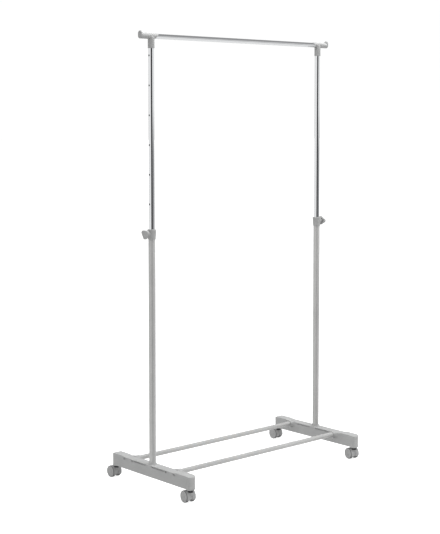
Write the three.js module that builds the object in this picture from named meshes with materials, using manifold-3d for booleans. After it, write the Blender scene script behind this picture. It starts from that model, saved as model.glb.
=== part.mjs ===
// Rolling clothes rack with two telescopic uprights, one hanging rail and four twin-wheel casters.
// Millimetres, +Z up, X along the rail, Y from front to back. The origin is on the floor, at the
// middle of the rack's outline.
//
// The lower tubes stand in two moulded base beams, which two cross tubes tie together. The upper
// tubes slide in the lower ones and are held by a lock screw through a collar on each side. At
// rest the rack stands at full height with both lock screws backed off, just clear of the tubes.

import * as THREE from 'three';
import { mergeVertices } from 'three/addons/utils/BufferGeometryUtils.js';
import Module from 'manifold-3d';

const wasm = await Module();
wasm.setup();

// ---------------------------------------------------------------- clearances
const fitGap = 0.3; // between pieces that touch or are pressed together
const slideGap = 0.35; // around the upper tube in its collar
const runGap = 0.3; // around pins, stems, screws and axles
const swivelGap = 1.2; // between a caster's fender and the base above it
const overcut = 1; // how far a cutting tool runs past a face
const headFace = 0.7; // width of a screw head's flat face, as a share of the head's width

// ---------------------------------------------------------------- overall sizes
const uprightSpacing = 900; // axis to axis
const railHeight = 1732; // rail axis above the floor, at full height
const beamLength = 472; // base beam, front to back
const lowerTubeLength = 936;

// ---------------------------------------------------------------- tubes
const tubeWall = 1;
const lowerTubeRadius = 13.25;
const upperTubeRadius = 11;
const railRadius = 9.5;
const crossTubeRadius = 9.5;
const tubeSegments = 24;
const railSegments = 20;
const tubeInsertion = 128; // of the upper tube below the lock screw

// ---------------------------------------------------------------- casters
const wheelRadius = 23;
const wheelWidth = 12;
const wheelInset = 8.5; // from the caster's middle to a wheel's inner face
const wheelSegments = 18;
const wheelRim = 4; // width of the tyre seen from the side
const wheelDish = 1.4; // depth of the hollow in a wheel's outer face
const wheelEdge = 1.6; // rounding of the tyre's edge
const hubRadius = 7;
const axleRadius = 3;
const axleHold = 9; // length of axle inside each wheel
const fenderGap = 0.8; // from the tyre to the fender
const fenderWall = 1.8;
const fenderStart = 95; // degrees about the axle, from the back over the top to the front
const fenderEnd = 205;
const fenderGroove = 2.2; // depth of the groove between the two hoods
const fenderGrooveHalf = 4; // half its width
const webRadius = 17;
const webHalf = 7.5; // half the thickness of the web between the wheels
const casterTrail = 19; // from the swivel axis back to the axle
// Turn of each caster at rest, in degrees.
const casterTurns = { front_left: -6, front_right: -10, back_left: 0, back_right: 0 };
const stemRadius = 4;
const stemBossWall = 2;
const neckGap = 0.5; // between the neck's top and the base
const stemDepth = 19; // length of the stem inside the neck
const stemHold = 34; // length of the stem inside the base
const stemGroove = 0.6; // depth of the groove for the grip ring
const stemGrooveDrop = 7; // from the stem's top to the groove's lower edge
const stemGrooveLength = 3.6;
const stemChamfer = 1.2;
const socketWall = 1.7;
const socketFlange = 2; // how far the socket's flange stands out
const socketFlangeHeight = 1.5;
// The tyre is a many-sided ring that stands on one flat side.
const axleHeight = wheelRadius * Math.cos(Math.PI / wheelSegments);
const fenderInner = wheelRadius + fenderGap;
const fenderOuter = fenderInner + fenderWall;
const casterHalf = wheelInset + wheelWidth;
const fenderHalf = casterHalf - wheelDish;

// ---------------------------------------------------------------- base beams
const beamWidth = 40;
const beamHeight = 46;
const beamCorner = 14; // corner radius seen from above
const beamWall = 3;
const endRise = 3; // how much higher the ends are
const endLength = 66;
const rampLength = 20;
const ribPlaces = [74, 160]; // distance of the cross ribs from the upright
const ribWall = 2.4;
const casterFromEnd = 10; // from the beam's end to the swivel axis
const casterPadRadius = 18;
const casterPadDrop = 4.2; // how far the pad stands out under the beam
const socketBossWall = 2.4;
const uprightBossWall = 4;
const uprightBossRise = 6; // how far the boss stands above the beam
const uprightFloor = 4; // floor under the lower tube
const boltRecess = 6; // depth of the recess for the bolt's head
const grooveStart = 18; // groove under the beam's top edge, distance from the upright
const grooveEnd = 92;
const grooveHeight = 3;
const grooveDepth = 1.5;
const grooveDrop = 2.6; // from the beam's top to the groove's upper edge
const notchPlaces = [103, 151];
const notchLength = 9;
const notchHeight = 5;
const casterPadBottom = axleHeight + fenderOuter + swivelGap;
const beamBottom = casterPadBottom + casterPadDrop;
const beamTop = beamBottom + beamHeight;
const endTop = beamTop + endRise;
const casterPlace = beamLength / 2 - casterFromEnd;

// ---------------------------------------------------------------- cross tubes and their screws
const crossTubePlace = 127; // from the uprights to each cross tube
const crossTubeDrop = 8; // axis below the beam's top
const crossBossWall = 2.7;
const crossBossReach = 14; // how far the boss stands out of the beam's inner side
const crossTubeSeat = 14; // from the upright's plane to the tube's end
const crossSeatWall = 4;
const crossPlugLength = 22;
const screwRadius = 2.2;
const screwHeadRadius = 4.5;
const screwHeadHeight = 2.7;
const screwPadRadius = 5.6;
const screwPadDrop = 2;
const screwFromBoss = 7; // from the boss's mouth to the screw
const crossTubeHeight = beamTop - crossTubeDrop;
const crossBossRadius = crossTubeRadius + fitGap + crossBossWall;
const crossBossFace = beamWidth / 2 + crossBossReach;
const screwPlace = crossBossFace - screwFromBoss;
const screwPadBottom = crossTubeHeight - crossBossRadius - screwPadDrop;

// ---------------------------------------------------------------- upright bolt and plug
const boltRadius = 4;
const boltHeadRadius = 8;
const boltHeadHeight = 4.5;
const boltLength = 24;
const uprightPlugLength = 26;
const uprightSeat = beamBottom + boltRecess + uprightFloor;
const lowerTubeBottom = uprightSeat + fitGap;
const lowerTubeTop = lowerTubeBottom + lowerTubeLength;

// ---------------------------------------------------------------- collar and lock
const lockDrop = 12.3; // lock screw's axis below the lower tube's top
const collarBelow = 21; // collar's lower edge below the lock screw's axis
const collarLip = 4;
const collarWallTop = 2.7;
const collarWallBottom = 1.1;
const collarChamfer = 1.2;
const lockBossRadius = 9;
const lockBossReach = 10; // from the lower tube's wall to the boss's shoulder
const noseRadius = 6.5;
const noseLength = 3.5;
const gussetHalf = 4;
const gussetLift = 9; // of the gusset's outer corner below the screw's axis
const insertWall = 0.9;
const lockScrewRadius = 4;
const dogRadius = 2.9;
const dogLength = 2.9;
const lockBackOff = 0.5; // from the screw's tip to the upper tube
const lockDepth = 3.1; // how far the screw goes in from there
const lockWallHole = 4.6; // radius of the hole in the lower tube
const lockHeadRadius = 7; // knurled head, held in the knob
const lockHeadHeight = 4.5;
const holeRadius = 3.25; // height holes in the upper tube
const holePitch = 112;
const holeMargin = 15; // from the tee's sleeve to the nearest hole
const knobGap = 0.6; // between the knob and the boss when it is screwed in
const knobThick = 10.2;
const knobRadius = 16.6;
const knobLobe = 2.4; // how far the three lobes stand out
const knobChamfer = 1.6;
const knobCup = 4; // depth of the hollow that takes the boss's nose
const knobCupGap = 0.7;
const lockHeight = lowerTubeTop - lockDrop;
const bossShoulder = lowerTubeRadius + lockBossReach;
const noseEnd = bossShoulder + noseLength;
const tipPlace = upperTubeRadius + lockBackOff;
const knobInner = bossShoulder + knobGap + lockDepth;
const screwHeadPlace = knobInner + knobCup + fitGap;

// ---------------------------------------------------------------- tees
const sleeveWall = 1.25;
const railSleeveWall = 1.2;
const sleeveDrop = 45; // sleeve's lower edge below the rail's axis
const teeWeb = 4; // between the upper tube's socket and the rail's bore
const teeReachIn = 31; // from the upright's axis towards the middle
const teeReachOut = 49.5; // from the upright's axis to the flange
const teeShoulder = 2; // length of the step from the sleeve's width to the barrel's
const flangeThick = 5;
const flangeRise = 8; // how far the flange's upper arc is lifted
const flangeRim = 2.5;
const flangeDish = 1.2;
const stubEndWall = 3.2;
const sleeveRadius = upperTubeRadius + fitGap + sleeveWall;
const railSleeveRadius = railRadius + fitGap + railSleeveWall;
const railEnd = teeReachOut - stubEndWall - fitGap;
const upperTubeTop = railHeight - railRadius - fitGap - teeWeb - fitGap;
const sleeveBottom = railHeight - sleeveDrop;
const upperTubeBottom = lockHeight - tubeInsertion;
const holeCount = 1 + Math.floor((sleeveBottom - holeMargin - lockHeight) / holePitch);

// ---------------------------------------------------------------- glides
const glideSpigot = 20;
const glideFlange = 3;

// The casters trail to the back, so the outline isn't centred on the uprights.
const backEdge = casterPlace + casterTrail + wheelRadius;
const frontEdge = Math.max(beamLength / 2, casterPlace - casterTrail + fenderOuter);
const uprightOffset = (frontEdge - backEdge) / 2;

// ---------------------------------------------------------------- materials
function material(color, roughness, metalness) {
  return () => new THREE.MeshStandardMaterial({ color, roughness, metalness });
}
const paint = material(0xb9bab9, 0.45, 0.1);
const chrome = material(0xd8d9da, 0.12, 1);
const plastic = material(0xa6a7a7, 0.55, 0);
const wheelPlastic = material(0x8d8e8f, 0.5, 0);
const zinc = material(0xb4b6b8, 0.35, 0.9);
const brass = material(0xb59a5a, 0.35, 0.9);
const glidePlastic = material(0x3a3b3c, 0.6, 0);

// ---------------------------------------------------------------- solids
// Makes a solid that can be joined and cut from a closed geometry.
function solid(geometry) {
  geometry.deleteAttribute('normal');
  geometry.deleteAttribute('uv');
  const merged = mergeVertices(geometry);
  const corners = merged.index.array;
  const kept = [];
  for (let i = 0; i < corners.length; i += 3) {
    const [a, b, c] = corners.slice(i, i + 3);
    if (a !== b && b !== c && c !== a) kept.push(a, b, c);
  }
  return new wasm.Manifold(new wasm.Mesh({
    numProp: 3,
    vertProperties: merged.attributes.position.array,
    triVerts: new Uint32Array(kept),
  }));
}

const upright = (geometry) => geometry.rotateX(Math.PI / 2); // local Y becomes Z
const lying = (geometry) => geometry.rotateZ(-Math.PI / 2); // local Y becomes X

// Turns a profile of [radius, height] points about the Z axis, or about X with turn = lying.
function turned(profile, segments, turn = upright) {
  const points = profile.map(([radius, height]) => new THREE.Vector2(radius, height));
  return solid(turn(new THREE.LatheGeometry(points, segments)));
}

function rod(radius, from, to, segments = 16, turn = upright) {
  return turned([[0, from], [radius, from], [radius, to], [0, to]], segments, turn);
}

function pipe(outer, inner, from, to, segments = tubeSegments, turn = upright) {
  const section = [[inner, from], [outer, from], [outer, to], [inner, to], [inner, from]];
  return turned(section, segments, turn);
}

function block(x0, x1, y0, y1, z0, z1) {
  const box = new THREE.BoxGeometry(x1 - x0, y1 - y0, z1 - z0);
  return solid(box.translate((x0 + x1) / 2, (y0 + y1) / 2, (z0 + z1) / 2));
}

// Extrudes a shape drawn in X and Y upwards.
function slab(shape, from, to, curveSegments = 6) {
  const settings = { depth: to - from, bevelEnabled: false, curveSegments };
  return solid(new THREE.ExtrudeGeometry(shape, settings).translate(0, 0, from));
}

// Extrudes a shape drawn in Y and Z along X.
function plate(shape, from, to, curveSegments = 6) {
  return slab(shape, from, to, curveSegments).rotate([90, 0, 90]);
}

function joined(first, ...others) {
  return others.reduce((sum, next) => sum.add(next), first);
}

function cut(body, ...tools) {
  return tools.reduce((rest, tool) => rest.subtract(tool), body);
}

const rack = new THREE.Group();
rack.name = 'rolling_clothes_rack';
rack.position.y = uprightOffset;

function addPiece(parent, name, body, finish) {
  const { vertProperties, triVerts } = body.getMesh();
  const geometry = new THREE.BufferGeometry();
  geometry.setAttribute('position', new THREE.BufferAttribute(vertProperties, 3));
  geometry.setIndex(new THREE.BufferAttribute(triVerts, 1));
  geometry.computeVertexNormals();
  const mesh = new THREE.Mesh(geometry, finish());
  mesh.name = name;
  parent.add(mesh);
  return mesh;
}

// ---------------------------------------------------------------- base beam
// A rectangle with round corners, centred on the upright, inset all round.
function beamPlan(inset) {
  const x = beamWidth / 2 - inset;
  const y = beamLength / 2 - inset;
  const r = beamCorner - inset;
  const plan = new THREE.Shape();
  plan.absarc(x - r, y - r, r, 0, Math.PI / 2);
  plan.absarc(-x + r, y - r, r, Math.PI / 2, Math.PI);
  plan.absarc(-x + r, -y + r, r, Math.PI, 1.5 * Math.PI);
  plan.absarc(x - r, -y + r, r, 1.5 * Math.PI, 2 * Math.PI);
  return plan;
}

// Side view of the beam: a long low body whose ends rise in a short ramp.
function beamSide(bottom, drop) {
  const end = beamLength / 2 + overcut;
  const rampTop = beamLength / 2 - endLength;
  const rampFoot = rampTop - rampLength;
  return new THREE.Shape([
    new THREE.Vector2(-end, bottom),
    new THREE.Vector2(end, bottom),
    new THREE.Vector2(end, endTop - drop),
    new THREE.Vector2(rampTop, endTop - drop),
    new THREE.Vector2(rampFoot, beamTop - drop),
    new THREE.Vector2(-rampFoot, beamTop - drop),
    new THREE.Vector2(-rampTop, endTop - drop),
    new THREE.Vector2(-end, endTop - drop),
  ]);
}

// The boss that takes one cross tube, on the beam's inner (-X) side.
function crossBoss(y) {
  const barrel = rod(crossBossRadius, -crossBossFace, -crossTubeSeat + crossSeatWall, 18, lying);
  const pad = rod(screwPadRadius, screwPadBottom, crossTubeHeight, 12);
  return barrel.translate([0, y, crossTubeHeight]).add(pad.translate([-screwPlace, y, 0]));
}

function crossBossCuts(y) {
  const boreEnd = -crossTubeSeat + fitGap;
  const bore = rod(crossTubeRadius + fitGap, -crossBossFace - overcut, boreEnd, 18, lying);
  const hole = rod(screwRadius + runGap, screwPadBottom - overcut, crossTubeHeight, 8);
  return bore.translate([0, y, crossTubeHeight]).add(hole.translate([-screwPlace, y, 0]));
}

const socketRadius = stemRadius + runGap + socketWall;
const socketBore = socketRadius + fitGap;
const flangeRadius = socketRadius + socketFlange;
const socketTop = casterPadBottom + stemHold + fitGap;

function casterBoss(y) {
  const boss = rod(socketBore + socketBossWall, casterPadBottom, endTop - beamWall / 2, 14);
  return boss.translate([0, y, 0]);
}

function casterBossCuts(y) {
  const bore = rod(socketBore, casterPadBottom - overcut, socketTop + fitGap, 14);
  const seat = casterPadBottom + socketFlangeHeight + fitGap + fitGap;
  return bore.add(rod(flangeRadius + fitGap, casterPadBottom - overcut, seat, 14)).translate([0, y, 0]);
}

// Long groove and short notches under the top edge, on both sides of the beam.
function edgeCuts() {
  const outer = beamWidth / 2 + overcut;
  const inner = beamWidth / 2 - grooveDepth;
  const high = beamTop - grooveDrop;
  const marks = [[(grooveStart + grooveEnd) / 2, grooveEnd - grooveStart, grooveHeight]];
  for (const place of notchPlaces) marks.push([place, notchLength, notchHeight]);
  const cuts = [];
  for (const [place, length, height] of marks) {
    for (const end of [-1, 1]) {
      const y0 = end * place - length / 2;
      for (const [x0, x1] of [[inner, outer], [-outer, -inner]]) {
        cuts.push(block(x0, x1, y0, y0 + length, high - height, high));
      }
    }
  }
  return cuts;
}

function baseBeam() {
  const outline = slab(beamPlan(0), casterPadBottom, endTop + overcut, 4);
  const sideView = beamSide(beamBottom, 0);
  const shell = plate(sideView, -beamWidth, beamWidth).intersect(outline);
  const hollowSide = plate(beamSide(beamBottom - overcut, beamWall), -beamWidth, beamWidth);
  let hollow = hollowSide.intersect(slab(beamPlan(beamWall), 0, endTop, 3));
  for (const place of ribPlaces) {
    for (const y of [-place, place]) {
      const rib = block(-beamWidth, beamWidth, y - ribWall / 2, y + ribWall / 2, 0, endTop);
      hollow = hollow.subtract(rib);
    }
  }
  const bossRadius = lowerTubeRadius + fitGap + uprightBossWall;
  const adds = [rod(bossRadius, beamBottom, beamTop + uprightBossRise, tubeSegments)];
  const cuts = [
    rod(lowerTubeRadius + fitGap, uprightSeat, beamTop + uprightBossRise + overcut, tubeSegments),
    rod(boltRadius + runGap, beamBottom - overcut, uprightSeat + overcut),
    rod(boltHeadRadius + fitGap, beamBottom - overcut, beamBottom + boltRecess, 14),
    ...edgeCuts(),
  ];
  for (const end of [-1, 1]) {
    const padTool = rod(casterPadRadius, casterPadBottom, beamBottom + beamWall, 24);
    adds.push(padTool.translate([0, end * casterPlace, 0]).intersect(outline));
    adds.push(casterBoss(end * casterPlace), crossBoss(end * crossTubePlace));
    cuts.push(casterBossCuts(end * casterPlace), crossBossCuts(end * crossTubePlace));
  }
  return cut(joined(cut(shell, hollow), ...adds), ...cuts);
}

// ---------------------------------------------------------------- base fittings
function casterSocket() {
  const bottom = casterPadBottom + fitGap;
  const inner = stemRadius + runGap;
  return turned([
    [inner, bottom], [flangeRadius, bottom], [flangeRadius, bottom + socketFlangeHeight],
    [socketRadius, bottom + socketFlangeHeight], [socketRadius, socketTop],
    [inner, socketTop], [inner, bottom],
  ], 14);
}

function uprightPlug() {
  const radius = lowerTubeRadius - tubeWall - fitGap;
  const bottom = lowerTubeBottom;
  const boltEnd = beamBottom + boltRecess - fitGap + boltLength + runGap;
  const body = rod(radius, bottom, bottom + uprightPlugLength, 18);
  return body.subtract(rod(boltRadius + runGap, bottom - overcut, boltEnd));
}

function uprightBolt() {
  const seat = beamBottom + boltRecess - fitGap;
  const head = seat - boltHeadHeight;
  return turned([
    [0, head], [boltHeadRadius * headFace, head], [boltHeadRadius, head + boltHeadHeight / 2],
    [boltHeadRadius, seat], [boltRadius, seat], [boltRadius, seat + boltLength],
    [0, seat + boltLength],
  ], 14);
}

function crossTube() {
  const end = uprightSpacing / 2 - crossTubeSeat;
  let tube = pipe(crossTubeRadius, crossTubeRadius - tubeWall, -end, end, 18, lying);
  for (const side of [-1, 1]) {
    const hole = rod(screwRadius + runGap, -crossTubeRadius - overcut, 0, 8);
    tube = tube.subtract(hole.translate([side * (uprightSpacing / 2 - screwPlace), 0, 0]));
  }
  return tube;
}

// Plug in the end of a cross tube, drilled from below for its screw.
function crossPlug() {
  const radius = crossTubeRadius - tubeWall - fitGap;
  const outerEnd = -crossTubeSeat - fitGap;
  const body = rod(radius, outerEnd - crossPlugLength, outerEnd, 14, lying);
  const hole = rod(screwRadius + runGap, -radius - overcut, fitGap, 8);
  return body.subtract(hole.translate([-screwPlace, 0, 0]));
}

function crossScrew() {
  const seat = screwPadBottom - fitGap - crossTubeHeight;
  const head = seat - screwHeadHeight;
  return turned([
    [0, head], [screwHeadRadius * headFace, head], [screwHeadRadius, head + screwHeadHeight / 2],
    [screwHeadRadius, seat], [screwRadius, seat], [screwRadius, 0], [0, 0],
  ], 10);
}

// ---------------------------------------------------------------- uprights and lock
function lowerTube() {
  const inner = lowerTubeRadius - tubeWall;
  const tube = pipe(lowerTubeRadius, inner, lowerTubeBottom, lowerTubeTop);
  const hole = rod(lockWallHole, 0, lowerTubeRadius + overcut, 12, lying);
  return tube.subtract(hole.translate([0, 0, lockHeight]));
}

function upperTube() {
  let tube = pipe(upperTubeRadius, upperTubeRadius - tubeWall, upperTubeBottom, upperTubeTop);
  for (let i = 0; i < holeCount; i += 1) {
    const hole = rod(holeRadius, 0, upperTubeRadius + overcut, 10, lying);
    tube = tube.subtract(hole.translate([0, 0, lockHeight + i * holePitch]));
  }
  return tube;
}

function tubeGlide() {
  const seat = upperTubeBottom - fitGap;
  const spigot = upperTubeRadius - tubeWall - fitGap;
  const flange = lowerTubeRadius - tubeWall - runGap;
  return turned([
    [0, seat - glideFlange], [flange, seat - glideFlange], [flange, seat], [spigot, seat],
    [spigot, seat + glideSpigot], [0, seat + glideSpigot],
  ], 18);
}

function collar() {
  const bore = lowerTubeRadius + fitGap;
  const bottom = lockHeight - collarBelow;
  const lip = lowerTubeTop + fitGap;
  const top = lip + collarLip;
  const topRadius = bore + collarWallTop;
  const shell = turned([
    [0, bottom], [bore + collarWallBottom, bottom], [topRadius, lip], [topRadius, top - collarChamfer],
    [topRadius - collarChamfer, top], [0, top],
  ], tubeSegments);
  const boss = turned([
    [0, 0], [lockBossRadius, 0], [lockBossRadius, bossShoulder - collarChamfer],
    [lockBossRadius - collarChamfer, bossShoulder], [noseRadius, bossShoulder],
    [noseRadius, noseEnd], [0, noseEnd],
  ], 18, lying);
  const gusset = new THREE.Shape([
    new THREE.Vector2(0, bottom - lockHeight),
    new THREE.Vector2(bore + collarWallBottom, bottom - lockHeight),
    new THREE.Vector2(bossShoulder - collarChamfer, -gussetLift),
    new THREE.Vector2(bossShoulder - collarChamfer, 0),
    new THREE.Vector2(0, 0),
  ]);
  const rib = slab(gusset, -gussetHalf, gussetHalf).rotate([90, 0, 0]);
  const insertBore = lockScrewRadius + runGap + insertWall + fitGap;
  return cut(
    joined(shell, boss.translate([0, 0, lockHeight]), rib.translate([0, 0, lockHeight])),
    rod(bore, bottom - overcut, lip, tubeSegments),
    rod(upperTubeRadius + slideGap, bottom, top + overcut, tubeSegments),
    rod(insertBore, 0, noseEnd + overcut, 16, lying).translate([0, 0, lockHeight]),
  );
}

function threadInsert() {
  const inner = lockScrewRadius + runGap;
  const from = lowerTubeRadius + fitGap + fitGap;
  return pipe(inner + insertWall, inner, from, noseEnd - fitGap, 16, lying);
}

function lockScrew() {
  const shoulder = tipPlace + dogLength;
  const headEnd = screwHeadPlace + lockHeadHeight;
  return turned([
    [0, tipPlace], [dogRadius, tipPlace], [dogRadius, shoulder], [lockScrewRadius, shoulder],
    [lockScrewRadius, screwHeadPlace], [lockHeadRadius, screwHeadPlace], [lockHeadRadius, headEnd],
    [0, headEnd],
  ], 16, lying);
}

// A triangle with three round lobes: the radius swells and shrinks three times round.
function lobes(inset) {
  const steps = 30;
  const points = [];
  for (let i = 0; i < steps; i += 1) {
    const angle = (2 * Math.PI * i) / steps;
    const radius = knobRadius - inset + knobLobe * Math.cos(3 * angle);
    points.push(new THREE.Vector2(radius * Math.cos(angle), radius * Math.sin(angle)));
  }
  return new THREE.Shape(points);
}

function knob() {
  const outer = knobInner + knobThick;
  const body = plate(lobes(0), knobInner, outer - knobChamfer);
  const crown = plate(lobes(knobChamfer), outer - knobChamfer - fitGap, outer);
  const cupEnd = knobInner + knobCup;
  const pocketEnd = screwHeadPlace + lockHeadHeight + fitGap;
  const cup = rod(noseRadius + knobCupGap, knobInner - overcut, cupEnd, 16, lying);
  const pocket = rod(lockHeadRadius + fitGap, cupEnd - overcut, pocketEnd, 16, lying);
  return cut(joined(body, crown), cup, pocket);
}

// ---------------------------------------------------------------- rail and tees
// The flange is a round-ended plate that keeps hangers from sliding off.
function flangeShape(inset) {
  const r = railSleeveRadius - inset;
  const shape = new THREE.Shape();
  shape.absarc(0, 0, r, Math.PI, 2 * Math.PI);
  shape.absarc(0, flangeRise, r, 0, Math.PI);
  return shape;
}

function tee() {
  const shoulder = sleeveRadius + teeShoulder;
  const barrel = turned([
    [0, -teeReachIn], [railSleeveRadius, -teeReachIn], [sleeveRadius, -sleeveRadius],
    [sleeveRadius, sleeveRadius], [railSleeveRadius, shoulder],
    [railSleeveRadius, teeReachOut + overcut], [0, teeReachOut + overcut],
  ], 20, lying);
  const flangeEnd = teeReachOut + flangeThick;
  return cut(
    joined(
      barrel,
      rod(sleeveRadius, -sleeveDrop, 0, tubeSegments),
      plate(flangeShape(0), teeReachOut, flangeEnd, 8),
    ),
    plate(flangeShape(flangeRim), flangeEnd - flangeDish, flangeEnd + overcut, 8),
    rod(railRadius + fitGap, -teeReachIn - overcut, railEnd + fitGap, railSegments, lying)
      .rotate([180 / railSegments, 0, 0]),
    rod(upperTubeRadius + fitGap, -sleeveDrop - overcut, upperTubeTop + fitGap - railHeight, tubeSegments),
  ).translate([0, 0, railHeight]);
}

// One flat of the many-sided rail faces up.
function rail() {
  const end = uprightSpacing / 2 + railEnd;
  const tube = pipe(railRadius, railRadius - tubeWall, -end, end, railSegments, lying);
  return tube.rotate([180 / railSegments, 0, 0]).translate([0, 0, railHeight]);
}

// ---------------------------------------------------------------- caster
const neckTop = casterPadBottom - neckGap;
const stemBottom = neckTop - stemDepth;
const radians = (degrees) => (degrees * Math.PI) / 180;

// Web between the wheels: a disc about the axle that grows to the fender over its arc.
function webShape() {
  const shape = new THREE.Shape();
  const reach = fenderOuter - fenderWall / 2;
  shape.absarc(casterTrail, axleHeight, reach, radians(fenderStart), radians(fenderEnd));
  shape.absarc(casterTrail, axleHeight, webRadius, radians(fenderEnd), radians(fenderStart + 360));
  return shape;
}

function fenderShape() {
  const shape = new THREE.Shape();
  shape.absarc(casterTrail, axleHeight, fenderOuter, radians(fenderStart), radians(fenderEnd));
  shape.absarc(casterTrail, axleHeight, fenderInner, radians(fenderEnd), radians(fenderStart), true);
  return shape;
}

// Ring that parts the fender into a hood over each wheel.
function grooveShape() {
  const shape = new THREE.Shape();
  shape.absarc(casterTrail, axleHeight, fenderOuter + overcut, 0, 2 * Math.PI);
  const middle = new THREE.Path();
  middle.absarc(casterTrail, axleHeight, fenderOuter - fenderGroove, 0, 2 * Math.PI);
  shape.holes.push(middle);
  return shape;
}

function hoods() {
  return cut(
    joined(
      plate(webShape(), -webHalf, webHalf, 8),
      plate(fenderShape(), -fenderHalf, fenderHalf, 8),
    ),
    plate(grooveShape(), -fenderGrooveHalf, fenderGrooveHalf, 8),
  );
}

function casterHousing() {
  const boss = stemRadius + runGap + stemBossWall;
  return cut(
    joined(hoods(), rod(boss, stemBottom - stemBossWall, neckTop, 14)),
    rod(stemRadius + runGap, stemBottom - fitGap, neckTop + overcut, 14),
    rod(axleRadius + runGap, -webHalf - overcut, webHalf + overcut, 10, lying)
      .translate([0, casterTrail, axleHeight]),
  );
}

function casterStem() {
  const top = casterPadBottom + stemHold - fitGap;
  const groove = stemRadius - stemGroove;
  const low = top - stemGrooveDrop;
  const high = low + stemGrooveLength;
  return turned([
    [0, stemBottom], [stemRadius, stemBottom], [stemRadius, low], [groove, low + stemGroove],
    [groove, high - stemGroove], [stemRadius, high], [stemRadius, top - stemChamfer],
    [stemRadius - stemChamfer, top], [0, top],
  ], 12);
}

function casterAxle() {
  const half = wheelInset + axleHold - runGap;
  return rod(axleRadius, -half, half, 10, lying).translate([0, casterTrail, axleHeight]);
}

// One wheel, its blind bore facing the middle of the caster (-X).
function casterWheel() {
  const inner = wheelInset;
  const outer = casterHalf;
  const face = outer - wheelDish;
  const rim = wheelRadius - wheelRim;
  const wheel = turned([
    [0, inner + axleHold], [axleRadius + runGap, inner + axleHold], [axleRadius + runGap, inner],
    [hubRadius, inner], [rim, inner + wheelDish], [wheelRadius - wheelEdge, inner],
    [wheelRadius, inner + wheelEdge], [wheelRadius, outer - wheelEdge],
    [wheelRadius - wheelEdge, outer], [rim, outer], [rim - wheelDish, face], [0, face],
  ], wheelSegments, lying);
  const flatDown = 180 / wheelSegments;
  return wheel.rotate([flatDown, 0, 0]);
}

// ---------------------------------------------------------------- assembly
const sides = { left: -1, right: 1 };
const ends = { front: -1, back: 1 };
const knobTurn = { left: 270, right: 90 }; // which way a lobe of each knob points, about the screw

for (const [sideName, side] of Object.entries(sides)) {
  // Everything on one upright, with +X pointing outwards.
  const stand = new THREE.Group();
  stand.position.x = (side * uprightSpacing) / 2;
  stand.rotation.z = side < 0 ? Math.PI : 0;
  rack.add(stand);
  addPiece(stand, `base_beam_${sideName}`, baseBeam(), plastic);
  addPiece(stand, `lower_tube_${sideName}`, lowerTube(), paint);
  addPiece(stand, `upright_plug_${sideName}`, uprightPlug(), zinc);
  addPiece(stand, `upright_bolt_${sideName}`, uprightBolt(), zinc);
  addPiece(stand, `collar_${sideName}`, collar(), plastic);
  const turn = [knobTurn[sideName], 0, 0];
  const lockPlace = [0, 0, lockHeight];
  addPiece(stand, `thread_insert_${sideName}`, threadInsert().translate(lockPlace), brass);
  addPiece(stand, `lock_screw_${sideName}`, lockScrew().rotate(turn).translate(lockPlace), zinc);
  addPiece(stand, `knob_${sideName}`, knob().rotate(turn).translate(lockPlace), plastic);
  addPiece(stand, `upper_tube_${sideName}`, upperTube(), chrome);
  addPiece(stand, `tube_glide_${sideName}`, tubeGlide(), glidePlastic);
  addPiece(stand, `tee_${sideName}`, tee(), plastic);
}

addPiece(rack, 'hanging_rail', rail(), chrome);

for (const [endName, end] of Object.entries(ends)) {
  const tube = addPiece(rack, `cross_tube_${endName}`, crossTube(), paint);
  tube.position.set(0, end * crossTubePlace, crossTubeHeight);

  for (const [sideName, side] of Object.entries(sides)) {
    const corner = `${endName}_${sideName}`;

    const joint = new THREE.Group();
    joint.position.set((side * uprightSpacing) / 2, end * crossTubePlace, crossTubeHeight);
    joint.rotation.z = side < 0 ? Math.PI : 0;
    rack.add(joint);
    addPiece(joint, `cross_plug_${corner}`, crossPlug(), glidePlastic);
    const screw = addPiece(joint, `cross_screw_${corner}`, crossScrew(), zinc);
    screw.position.x = -screwPlace;

    const caster = new THREE.Group();
    caster.position.set((side * uprightSpacing) / 2, end * casterPlace, 0);
    caster.rotation.z = radians(casterTurns[corner]);
    rack.add(caster);
    addPiece(caster, `caster_socket_${corner}`, casterSocket(), zinc);
    addPiece(caster, `caster_stem_${corner}`, casterStem(), zinc);
    addPiece(caster, `caster_housing_${corner}`, casterHousing(), wheelPlastic);
    addPiece(caster, `caster_axle_${corner}`, casterAxle(), zinc);
    const axlePlace = [0, casterTrail, axleHeight];
    addPiece(caster, `wheel_${corner}_outer`, sideWheel(side, axlePlace), wheelPlastic);
    addPiece(caster, `wheel_${corner}_inner`, sideWheel(-side, axlePlace), wheelPlastic);
  }
}

function sideWheel(direction, place) {
  const wheel = casterWheel();
  return (direction < 0 ? wheel.rotate([0, 0, 180]) : wheel).translate(place);
}

export default rack;
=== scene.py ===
"""Looks of a rolling clothes rack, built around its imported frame. All lengths are in metres."""

import math

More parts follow.
